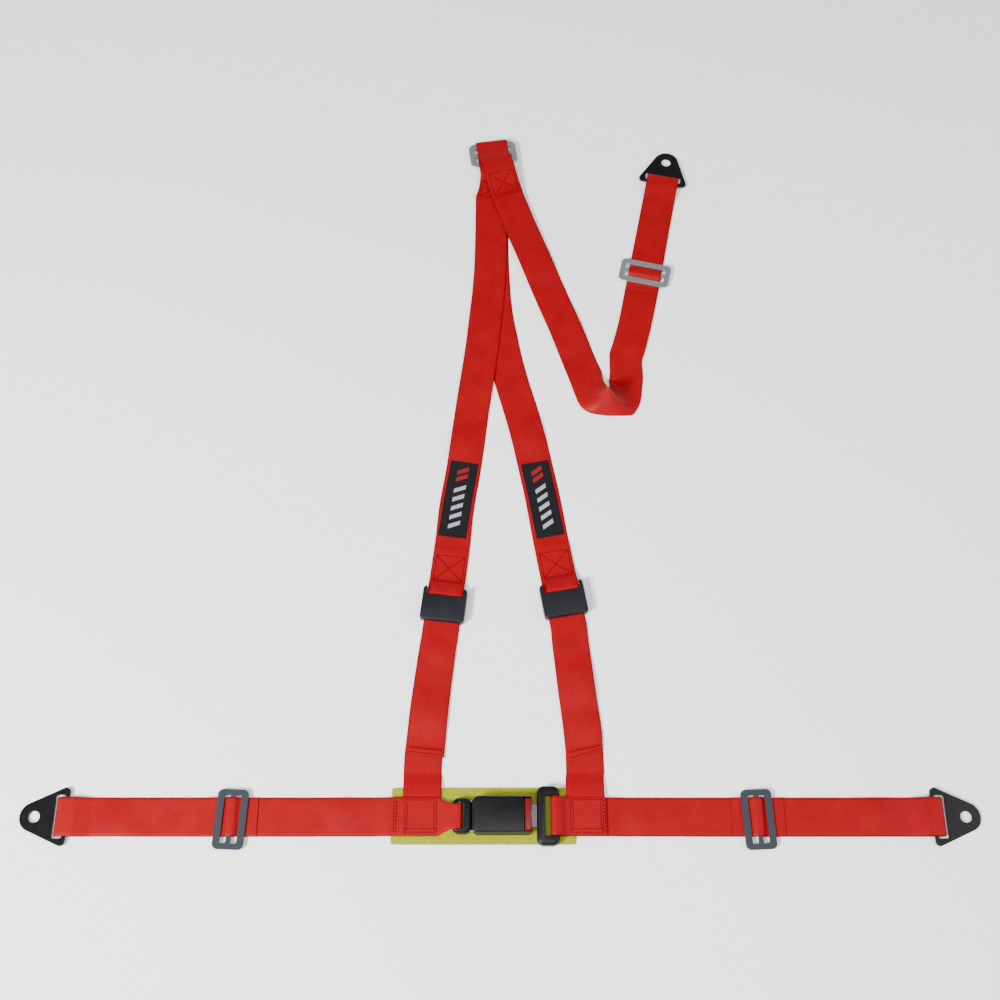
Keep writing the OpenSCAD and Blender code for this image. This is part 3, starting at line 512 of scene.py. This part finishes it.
def stitches(name, strap, lines, material=None, body="left_side", lift=0.05):
    # each line is (across, along) to (across, along); a stitch is a short six-sided thread, its ends dipping
    pitch = sewing["stitch"] + sewing["gap"]
    starts, ends = [], []
    for (c0, s0), (c1, s1) in lines:
        length = math.hypot(c1 - c0, s1 - s0)
        count = max(1, int(length / pitch))
        t = np.arange(count) / count
        d = sewing["stitch"] / length
        starts.append(np.stack([c0 + (c1 - c0) * t, s0 + (s1 - s0) * t], axis=1))
        ends.append(np.stack([c0 + (c1 - c0) * (t + d), s0 + (s1 - s0) * (t + d)], axis=1))
    starts, ends = np.vstack(starts), np.vstack(ends)
    stops = np.array([0, 0.12, 0.5, 0.88, 1.0])
    rise = np.array([-0.25, 0.12, 0.22, 0.12, -0.25])
    girth = np.array([0.5, 1, 1, 1, 0.5]) * sewing["thread"]
    count = len(starts)
    flat = starts[:, None] + (ends - starts)[:, None] * stops[None, :, None]
    spine = np.stack([onStrap(strap, flat[:, q, 0], flat[:, q, 1], lift + rise[q]) for q in range(5)], axis=1)
    run = spine[:, -1] - spine[:, 0]
    run /= np.linalg.norm(run, axis=1)[:, None]
    upward = np.array([0, 0, 1.0])
    sideways = np.cross(run, upward)
    sideways /= np.linalg.norm(sideways, axis=1)[:, None]
    over = np.cross(sideways, run)
    turn = np.arange(6) * math.pi / 3
    ring = sideways[:, None] * np.cos(turn)[None, :, None] + over[:, None] * np.sin(turn)[None, :, None]
    points = spine[:, :, None] + ring[:, None] * girth[None, :, None, None]
    block = np.arange(count)[:, None, None] * 30
    q, j = np.meshgrid(np.arange(4), np.arange(6), indexing="ij")
    k = (j + 1) % 6
    quads = np.stack([q * 6 + j, q * 6 + k, (q + 1) * 6 + k, (q + 1) * 6 + j], axis=2).reshape(-1, 4)
    faces = (quads[None] + block).reshape(-1, 4).tolist()
    for n in range(count):
        faces.append([n * 30 + v for v in (5, 4, 3, 2, 1, 0)])
        faces.append([n * 30 + 24 + v for v in range(6)])
    piece = makeMesh(name, points.reshape(-1, 3), faces, material or threadRed)
    fixNormals(piece)
    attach(piece, body)
    return piece


def rowAcross(half, along):
    return ((-half, along), (half, along))


def sewnBox(c, s0, s1, crossed=True):
    # the outline of a sewn box, and its cross
    lines = [((-c, s0), (c, s0)), ((-c, s1), (c, s1)), ((-c, s0), (-c, s1)), ((c, s0), (c, s1))]
    if crossed:
        lines += [((-c, s0), (c, s1)), ((c, s0), (-c, s1))]
    return lines


def heading(a, b):
    return math.degrees(math.atan2(b[1] - a[1], b[0] - a[0]))


def upright(c, a, sz, width=None):
    # stations of a path in an upright plane through c, in direction a
    width = web["width"] if width is None else width
    ca, sa = math.cos(math.radians(a)), math.sin(math.radians(a))
    return [[c[0] + s * ca, c[1] + s * sa, z, a - 90, width] for s, z in sz]


def arc(s, z, r, a0, a1, n):
    turns = [math.radians(a0 + (a1 - a0) * i / n) for i in range(n + 1)]
    return [(s + r * math.cos(t), z + r * math.sin(t)) for t in turns]


def route(points, heights):
    out = []
    for i, p in enumerate(points):
        a = heading(points[max(i - 1, 0)], points[min(i + 1, len(points) - 1)]) - 90
        out.append([p[0], p[1], heights[i], a, web["width"]])
    return out


def flipped(stations):
    # mirrored left to right
    return [[-x, y, z, -a if abs(a) > 1e-9 else 0.0, w] for x, y, z, a, w in stations]


# the lap straps: how far they reach, their fold round the plate's bar, and their loops at the buckle
lap = {"reach": 560, "slack": 8.6, "axisZ": 4.4155, "tailEnd": 238, "eyeX": 52, "eyeR": 3.3, "eyeWidth": 32,
       "tongueBarX": 71, "tongueBarR": 5.2}
lap["loopR"] = lap["axisZ"] - web["thick"] / 2


def lapStations(buckleLoop):
    reach, zTop = lap["reach"], lap["axisZ"] + lap["loopR"]
    fold = [(165, z2), (reach - 60, z2), (reach - 36, z2 + 0.5), (reach - 20, 6), (reach - 8, zTop),
            (reach - 2, zTop)] + arc(reach + lap["slack"], lap["axisZ"], lap["loopR"], 90, -90, 12)
    fold += [(reach - 8, z1), (reach - 60, z1), (lap["tailEnd"], z1)]
    return buckleLoop + upright((0, 0), 0, fold)


eyeZ = padTop + 5.1
narrow = ([(lap["eyeX"] + 11, eyeZ + lap["eyeR"] - 0.8)] + arc(lap["eyeX"], eyeZ, lap["eyeR"], 90, 270, 12)
          + [(lap["eyeX"] + 11, eyeZ - lap["eyeR"] - 0.1)])
leftLoop = (upright((0, 0), 0, [(140, padZ[2]), (88, padZ[2]), (82, padZ[2] + 0.3)])
            + upright((0, 0), 0, [(74, padZ[2] + 1.6)], 42) + upright((0, 0), 0, narrow, lap["eyeWidth"])
            + upright((0, 0), 0, [(74, padZ[0])], 42) + upright((0, 0), 0, [(82, padZ[0]), (143, padZ[0])]))
tongueZ = padTop + 6.25
rightLoop = upright((0, 0), 0, [(137, padZ[2]), (90, padZ[2]), (85, padZ[2] + 1.4), (78, padZ[2] + 5.4)]
                    + arc(lap["tongueBarX"], tongueZ, lap["tongueBarR"], 75, 285, 14)
                    + [(90, padZ[0]), (140, padZ[0])])


def finishStrap(name, r, node, body, hems=(), bend=None):
    piece = strip(name, r, webbingMaterial, None, hems)
    if bend:
        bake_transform(piece)
    else:
        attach(piece, body)
    if node:
        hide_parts(node)


lapLeft = rows(flipped(lapStations(leftLoop)))
lapRight = rows(lapStations(rightLoop))
finishStrap("lapWebbingLeft", lapLeft, "lap_strap_left", "left_side")
finishStrap("lapWebbingRight", lapRight, "lap_strap_right", "right_side")
# the sewn junction of the shoulder strap: a box, rows at its foot, and the return's end row
stitches("lapStitchesLeft", lapLeft, sewnBox(21, 17, 58, False)
         + [rowAcross(18, 20), rowAcross(18, 55), rowAcross(21, 3), rowAcross(21, 6), ((-16, 17), (-16, 58))],
         body="left_side")
stitches("lapStitchesRight", lapRight, sewnBox(21, 4, 46, False)
         + [rowAcross(18, 7), rowAcross(18, 43), rowAcross(21, 1.5), ((16, 4), (16, 46))],
         body="right_side")


# the short arch of webbing over each slider's middle bar
humpLow = z2 + layer
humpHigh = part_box("lap_slider_left")[1][2] / mm + 0.3 + web["thick"] / 2
humpHalf = [(34, humpLow), (17, humpLow), (9.8, humpLow + 0.1), (4.6, humpHigh - 0.5), (3.2, humpHigh)]
humpPath = [(-s, z) for s, z in humpHalf] + humpHalf[::-1]
rear = {"angle": 78.4, "bar": (258, 1002), "sliderBack": 175, "tail": 84}


def rearAt(d):
    a = math.radians(rear["angle"])
    return (rear["bar"][0] - d * math.cos(a), rear["bar"][1] - d * math.sin(a))


for name, centre, angle, node, body in (
        ("sliderWebbingLeft", (-347, 0), 0, "slider_webbing_left", "slider_left"),
        ("sliderWebbingRight", (333, 0), 0, "slider_webbing_right", "slider_right"),
        ("sliderWebbingRear", rearAt(rear["sliderBack"]), rear["angle"], "slider_webbing_rear", "slider_rear")):
    finishStrap(name, rows(upright(centre, angle, humpPath), wave=()), node, body)
print("lap webbing ready")

# shoulder straps
adjusters = {
    "left": {"centre": (-77.4, 288), "angle": 83.5, "join": -101, "tailX": 3, "skew": -3, "body": "left_side",
             "lower": [(-101.3, 58), (-100.8, 80), (-98.8, 102), (-96, 134), (-92.5, 167), (-88.5, 201),
                       (-84, 235)]},
    "right": {"centre": (87.6, 295.8), "angle": 100, "join": 110.5, "tailX": 1, "skew": 16, "body": "right_side",
              "lower": [(111.5, 58), (111.4, 80), (110, 102), (107, 134), (103, 167), (99.5, 201),
                        (95.5, 240)]},
}
# from an adjuster's middle to the end where the webbing enters, the length of the last stretch given with the
# bend, and the bars' height
adjusterEnd = 26.0
bendLength = 110.0
adjusterZ = 6.0


def alongAdjuster(side, d):
    a = math.radians(side["angle"])
    return (side["centre"][0] + d * math.cos(a), side["centre"][1] + d * math.sin(a))


def lowerStrap(key):
    # the lower shoulder strap: sewn at the lap strap, up to the adjuster, and back as a free tail
    side = adjusters[key]
    x = side["join"]
    join = [[x, y, z, 0, web["width"]] for y, z in (
        (-22, padZ[1]), (25, padZ[1]), (30, padZ[1] - 0.2), (42, padZ[0] + 0.1), (50, z1 + 1.6))]
    points = side["lower"] + [alongAdjuster(side, -adjusterEnd - 12)]
    end = alongAdjuster(side, -adjusterEnd - 0.1)
    main = rows(join + route(points, [z1] * len(points)) + [[*end, z1, side["angle"] - 90, web["width"]]])
    last = len(points) - 1
    tailPoints = [(points[i][0] + side["tailX"] * (last - i) / last, points[i][1])
                  for i in range(1, last + 1)]
    back = route(tailPoints, [z2] * len(tailPoints)) + [[*end, z2, side["angle"] - 90, web["width"]]]
    back[0][3] += side["skew"]
    tail = rows(back)
    name = "shoulderWebbing" + key.capitalize()
    # the adjuster's name and the ends of the last stretch are gathered as bend, but only its presence is used:
    # the strap is baked in place and not attached to a body
    ends = [(*alongAdjuster(side, d), z1) for d in (-adjusterEnd - bendLength, -adjusterEnd)]
    bend = ("adjuster_" + key, [c * mm for c in ends[0]], [c * mm for c in ends[1]])
    finishStrap(name + "Lower", main, "shoulder_strap_" + key + "_lower", side["body"], (), bend)
    finishStrap(name + "Tail", tail, None, side["body"], [(0, 11, 0.9)], bend)
    stitches(name + "HemStitches", tail, [rowAcross(22, 9), rowAcross(22, 3)], body=side["body"], lift=0.95)
    inside = [(-adjusterEnd, z1), (-15, z1), (-8, z1 + 0.5)] + arc(-2, adjusterZ, 4.1, -110, 110, 14)
    inside += [(-9, 7.6), (-14, 5), (-20, 2.8), (-adjusterEnd, z2)]
    finishStrap(name + "InAdjuster", rows(upright(side["centre"], side["angle"], inside), wave=()),
                "adjuster_webbing_" + key, "adjuster_" + key)


lowerStrap("left")
lowerStrap("right")

ringPlace = {"centre": (-11, 1056), "angle": 8, "z": 7.1, "step": 18.3, "loop": 2.65, "rearLoop": 6.48,
             "slant": 0.15, "turn": 11}
routes = {
    "left": [(-62.5, 431), (-58.5, 460), (-54, 488), (-50, 518), (-46.5, 546), (-41.5, 590), (-36, 632),
             (-30.5, 673), (-25.5, 715), (-21.5, 757), (-17.5, 800), (-15, 844), (-14, 888), (-13.5, 934)],
    "right": [(64.5, 431), (59.5, 460), (54, 488), (48, 518), (42, 546), (31, 592), (20, 632), (10, 673),
              (2, 715), (-5, 757), (-9, 800), (-11, 844), (-12, 888), (-12.5, 934)],
    "rear": [(19, 957), (35, 911), (52, 866), (67.5, 822), (83.5, 778), (98.5, 736), (113, 694), (121, 670)],
}
leftHeights = [z1] * 6 + [z2] * 7 + [2.6]
rearHeights = [5.4, 4.4, 2.6, 1.2, 0.6, 0.6, 0.6, 0.6]


def sewnLoop(side):
    # the upper strap's sewn loop round the adjuster's top bar
    path = [(82, z1), (40, z1), (28, z1 + 0.3), (21, z1 + 1.2)] + arc(16, adjusterZ, 3.7, -80, -260, 12)
    path += [(22, 9.0), (30, 6.4), (38, z2 + 1.5), (46, z2 + 0.3), (56, z2), (83, z2), (90, z1 + 0.4),
             (96, z1)]
    return upright(side["centre"], side["angle"], path)


def ringPart(uz, x):
    # stations near the ring: straight along Y at first, then square to the ring's bars
    a = math.radians(ringPlace["angle"])
    out = []
    for u, z in uz:
        k = min(max((u + 84) / 50, 0), 1)
        px = ringPlace["centre"][0] - u * math.sin(a)
        py = ringPlace["centre"][1] + u * math.cos(a)
        out.append([px * k + x * (1 - k), py, z, ringPlace["angle"] * k, web["width"]])
    return out


def rearPart(uz):
    # the rear strap leaves the ring at a slant, and turns with it
    a = math.radians(ringPlace["angle"])
    out = []
    for u, z in uz:
        px = ringPlace["centre"][0] - u * math.sin(a) - min(u, 0) * ringPlace["slant"]
        turned = ringPlace["angle"] + min(max(-u / 60, 0), 1) * ringPlace["turn"]
        out.append([px, ringPlace["centre"][1] + u * math.cos(a), z, turned, web["width"]])
    return out


zRing, loopR = ringPlace["z"], ringPlace["loop"]
rightRing = ([(-84, z1), (-56, z1), (-46, z1 + 0.8), (-36, 3.2), (-28, zRing - loopR), (-23.5, zRing - loopR)]
             + arc(-12.55, zRing, loopR, -90, 90, 10)
             + [(-23.5, zRing + loopR), (-28, zRing + loopR - 0.1), (-36, 8), (-46, 4.6), (-56, 2.4), (-62, z2),
                (-84, z2)])
leftRing = ([(-84, 3.4), (-62, 3.5), (-56, 4.2), (-46, 6.6), (-36, 10), (-28, 11.5), (-14.5, 11.4),
             (-10.4, 11), (-7.6, 9.6), (-6.6, 7.4), (-5.7, 5.6), (-4.2, 4.6), (0, 4.4)]
            + arc(2.45, zRing, loopR, -90, 90, 10)
            + [(-2, 9.8), (-5, 10.8), (-9.5, 12.4), (-14.5, 12.9), (-28, 13), (-36, 11.5), (-46, 8.1),
               (-56, 5.7), (-62, 5), (-84, 4.8)])
rearMain = [(-84, 6.3), (-62, 7.3), (-56, 8.7), (-46, 11.3), (-36, 13.9), (-28, 14.9), (-14.5, 14.5),
            (-9.5, 13.9), (-5, 12.5), (0, 11.6), (5, 11.4), (9.5, 11)]
rearFlap = [(10, 13.6), (5, 13.2), (0, 13.3), (-5, 14.1), (-9.5, 15.4), (-14.5, 16), (-28, 16.4), (-36, 15.5),
            (-46, 12.9), (-56, 10.3), (-62, 8.9), (-80, 7.9)]

upperLeft = rows(sewnLoop(adjusters["left"]) + route(routes["left"], leftHeights) + ringPart(leftRing, -13.5))
upperRight = rows(sewnLoop(adjusters["right"]) + route(routes["right"], [z1] * 14) + ringPart(rightRing, -12.5),
                  wave=waveSpots)
finishStrap("shoulderWebbingLeftUpper", upperLeft, "shoulder_strap_left_upper", "left_side")
finishStrap("shoulderWebbingRightUpper", upperRight, "shoulder_strap_right_upper", "right_side")


# the sewn end of each loop lies under the strap: its far edge, then the rows back towards the adjuster
loopTurn = 82 - 16 + 11.6
low = loopTurn + 22
for key, upper in (("left", upperLeft), ("right", upperRight)):
    stitches("loopStitches" + key.capitalize(), upper, sewnBox(20, low, low + 38) + [rowAcross(20, low - 3)],
             body=adjusters[key]["body"])

# rear strap: the flap on top of the ring, round its bar, down, through the loose turn, and up to its plate
turnOuter = [(103, 645, 0.7), (110.3, 622, 0.8), (118, 602, 1), (131, 590.5, 1), (148, 586.5, 1),
             (163, 585, 1), (178, 585, 1), (193, 586, 1), (203, 598, 0.9), (208.5, 613, 0.8),
             (211, 632, 0.7), (213, 652, 1.2)]
turnInner = [(151.5, 659, 1.5), (153, 645, 6), (154, 632, 17), (155, 620, 32), (156, 612, 41),
             (158, 609, 44), (161, 610, 38), (163, 614, 27), (163, 621, 16), (162, 631, 7),
             (162, 642, 2.5), (163.5, 660, 1.6)]


rearTop = rearPart(rearFlap[::-1] + arc(ringPlace["step"], zRing, ringPlace["rearLoop"], 100, -210, 20)
                   + rearMain[::-1])
# the leg runs away from the ring, so its across direction is turned about to match
down = rearTop + [[x, y, z, a + 180, w] for x, y, z, a, w in route(routes["rear"], rearHeights)]
fold = [(-262, z2), (-60, z2), (-36, z2 + 0.5), (-20, 6), (-8, 8.2), (-2, 8.2)]
fold += arc(8.6, 4.4, 3.8, 90, -90, 12) + [(-8, z1), (-rear["sliderBack"] - rear["tail"], z1)]
up = route([(188, 680), (194, 702)], [z2, z2]) + upright(rear["bar"], rear["angle"], fold)
downEdges, upEdges = edgesOf(down), edgesOf(up)
edgeA = np.vstack([downEdges[0], np.array(turnOuter), upEdges[1]])
edgeB = np.vstack([downEdges[1], np.array(turnInner), upEdges[0]])
rearRows = rows(edges=(edgeA, edgeB))
finishStrap("rearWebbing", rearRows, "rear_strap", "rear_side")
stitches("rearFlapStitches", rearRows, sewnBox(20, 5, 42) + [rowAcross(20, 2)], body="rear_side")
flapEnd = upperLeft["s"][-1]
stitches("leftFlapStitches", upperLeft, sewnBox(20, flapEnd - 34, flapEnd - 3), body="left_side")

# woven labels, laid on the upper straps
labels = {"left": [(-67.8, 392)] + routes["left"][:3] + [(-50.9, 509)],
          "right": [(71.6, 393)] + routes["right"][:3] + [(50, 509)]}
for key, points in labels.items():
    stations = [station[:4] + [labelLook["width"]] for station in route(points, [z1 + 1.0] * len(points))]
    patch = rows(stations)
    body = adjusters[key]["body"]
    piece = strip("label" + key.capitalize(), patch, labelMaterial, labelLook["thick"])
    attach(piece, body)
    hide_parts("label_" + key)
    edge = sewnBox(18.8, 1.2, patch["s"][-1] - 1.2, False)
    sewn = stitches("labelStitches" + key.capitalize(), patch, edge, threadBlack, body, -0.3)
print("shoulder and rear webbing ready")

# ---------- the lime pad ----------
pad = {"power": 60, "around": 240, "fill": 0.8, "roll": 36, "crowding": 0.2}
# the pad's section, over the top, round the edge and back underneath: (out, height), each from 0 to 1
padSection = [(0.25, 1.0), (0.5, 1.0), (0.7, 1.0), (0.82, 0.99), (0.9, 0.97), (0.94, 0.92), (0.965, 0.95),
              (0.985, 0.82), (0.996, 0.62), (1.0, 0.4), (0.996, 0.18), (0.985, 0.05), (0.95, 0.0), (0.5, 0.0)]


def limePad():
    # a crowned sheet: a rounded rectangle in rings from its middle, its edge rolled in like an ellipse
    lowCorner, highCorner = [np.array(v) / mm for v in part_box("buckle_pad")]
    centre = (lowCorner + highCorner) / 2
    half = (highCorner - lowCorner) / 2
    around = pad["around"]
    angle = np.linspace(0, 2 * math.pi, around, endpoint=False)
    # superellipse, |x|^power + |y|^power = 1, of a high power: a rectangle whose corners are just rounded
    sa, ca = np.sin(angle), np.cos(angle)
    angle = np.arctan2(sa * np.abs(sa) ** pad["crowding"], ca * np.abs(ca) ** pad["crowding"])
    ca, sa = np.cos(angle), np.sin(angle)
    reach = (np.abs(ca) ** pad["power"] + np.abs(sa) ** pad["power"]) ** (-1 / pad["power"])
    unit = np.stack([ca * reach, sa * reach], axis=1)
    deep = highCorner[2] - lowCorner[2]
    rings = []
    for out, height in padSection:
        flat = unit * (half[:2] - (1 - out) * pad["roll"]) + centre[:2]
        rings.append(np.column_stack([flat, np.full(around, lowCorner[2] + height * deep)]))
    crown, foot = [[centre[0], centre[1], corner[2]] for corner in (highCorner, lowCorner)]
    points = np.vstack([crown] + rings + [foot])
    faces = []
    for j in range(around):
        k = (j + 1) % around
        faces.append([0, 1 + j, 1 + k])
        for q in range(len(rings) - 1):
            base, nextBase = 1 + q * around, 1 + (q + 1) * around
            faces.append([base + j, nextBase + j, nextBase + k, base + k])
        base = 1 + (len(rings) - 1) * around
        faces.append([base + k, base + j, len(points) - 1])
    piece = makeMesh("limePad", points, faces, vinyl)
    fixNormals(piece)
    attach(piece, "left_side")
    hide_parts("buckle_pad")


limePad()
print("pad ready")

# ---------- stage, light and camera ----------
stageLook = {"shade": "#fafaf9", "floor": "#ffffff", "size": 12.0, "below": 0.0004}


def paleStage():
    # a flat floor that sweeps up behind as a backdrop: height is a quarter circle, then straight up
    size = stageLook["size"]
    t = np.linspace(0, 1, 60)
    y = np.where(t < 0.6, -4 + t / 0.6 * 9, 5 + 2 * np.sin(np.clip((t - 0.6) / 0.3, 0, 1) * math.pi / 2))
    z = np.where(t < 0.6, 0, 2 * (1 - np.cos(np.clip((t - 0.6) / 0.3, 0, 1) * math.pi / 2)))
    z = z + np.where(t > 0.9, (t - 0.9) * 40, 0) - stageLook["below"]
    x = np.array([-size, size])
    points = np.stack([np.tile(x, len(t)), np.repeat(y, 2), np.repeat(z, 2)], axis=1) / mm
    faces = [[2 * i, 2 * i + 1, 2 * i + 3, 2 * i + 2] for i in range(len(t) - 1)]
    material, tree, shader = newMaterial("palePaper", Roughness=0.85, Specular_IOR_Level=0.2)
    cloud = noise(tree, objectPlace(tree), 1.2)
    paper = blendColour(tree, cloud, linear(stageLook["shade"]), linear(stageLook["floor"]))
    tree.links.new(paper, shader.inputs["Base Color"])
    floor = makeMesh("floor", points, faces, material)


def areaLight(name, place, target, size, power):
    light = bpy.data.lights.new(name, "AREA")
    light.shape = "RECTANGLE"
    light.size, light.size_y = size
    light.energy = power
    lamp = bpy.data.objects.new(name, light)
    lamp.location = place
    lamp.rotation_euler = (Vector(target) - Vector(place)).to_track_quat("-Z", "Y").to_euler()
    bpy.context.scene.collection.objects.link(lamp)


paleStage()
lookAt = (0.0, 0.45, 0.0)
areaLight("keyLight", (-1.9, -1.2, 2.2), lookAt, (0.8, 0.8), 235)
areaLight("fillLight", (2.3, 0.4, 2.0), lookAt, (1.6, 1.2), 40)
areaLight("topLight", (0.0, -0.6, 3.4), lookAt, (2.0, 1.6), 70)
world = bpy.data.worlds.new("studio")
world.use_nodes = True
world.node_tree.nodes["Background"].inputs["Color"].default_value = linear("#f6f8fa")
world.node_tree.nodes["Background"].inputs["Strength"].default_value = 0.36
bpy.context.scene.world = world

cameraPlace = {"from": (0.0, -0.350, 1.772), "at": lookAt, "lens": 49.0, "sensor": 36}
cameraData = bpy.data.cameras.new("camera")
cameraData.lens = cameraPlace["lens"]
cameraData.sensor_width = cameraPlace["sensor"]
camera = bpy.data.objects.new("camera", cameraData)
camera.location = cameraPlace["from"]
aim = Vector(cameraPlace["at"]) - Vector(cameraPlace["from"])
camera.rotation_euler = aim.to_track_quat("-Z", "Y").to_euler()
bpy.context.scene.collection.objects.link(camera)
bpy.context.scene.camera = camera
print("stage, lights and camera ready")
